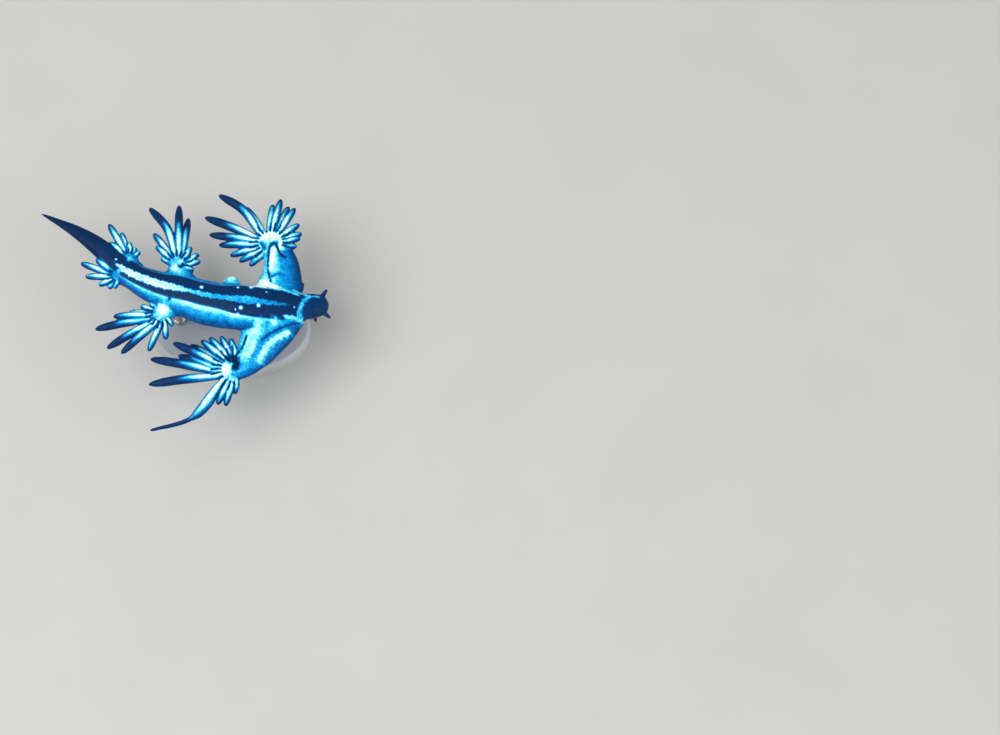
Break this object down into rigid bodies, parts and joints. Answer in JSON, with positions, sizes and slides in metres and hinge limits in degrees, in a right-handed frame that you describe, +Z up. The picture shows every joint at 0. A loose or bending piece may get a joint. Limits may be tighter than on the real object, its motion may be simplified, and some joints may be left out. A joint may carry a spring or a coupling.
{
  "type": "blue dragon sea slug model",
  "caption": "Life-size blue dragon sea slug floating belly up, with fans of finger-like cerata, held on a small oval display stand by two short rods.",
  "frame": {"origin": "middle of the stand's underside", "axes": "+Z up; the head points along +X; the foot (belly) faces +Z, so the animal's right side is at +Y"},
  "size_m": [0.0389, 0.0317, 0.0132],
  "materials": {
    "flesh_blue": "wet, satin skin, bright azure with a silver foot stripe between navy bands",
    "flesh_navy": "wet, dark navy skin",
    "cerata_blue": "wet, pale cyan stripe with deep blue edges and navy tips",
    "stand_base": "satin, pale grey",
    "stand_rod": "brushed"
  },
  "bodies": {
    "root": {"head": "flesh_navy", "oral_tentacle_right": "flesh_navy", "oral_tentacle_left": "flesh_navy", "rhinophore_right": "flesh_navy", "rhinophore_left": "flesh_navy", "torso_front": "flesh_blue", "torso_rear": "flesh_blue", "tail_base": "flesh_navy", "tail_tip": "flesh_navy", "arm_right_front": "flesh_blue", "cerata_right_front": "cerata_blue", "arm_left_front": "flesh_blue", "cerata_left_front": "cerata_blue", "arm_right_middle": "cerata_blue", "arm_left_middle": "cerata_blue", "cerata_right_rear": "cerata_blue", "cerata_left_rear": "cerata_blue", "stand_base": "stand_base", "stand_rod_front": "stand_rod", "stand_rod_rear": "stand_rod"}
  },
  "joints": []
}
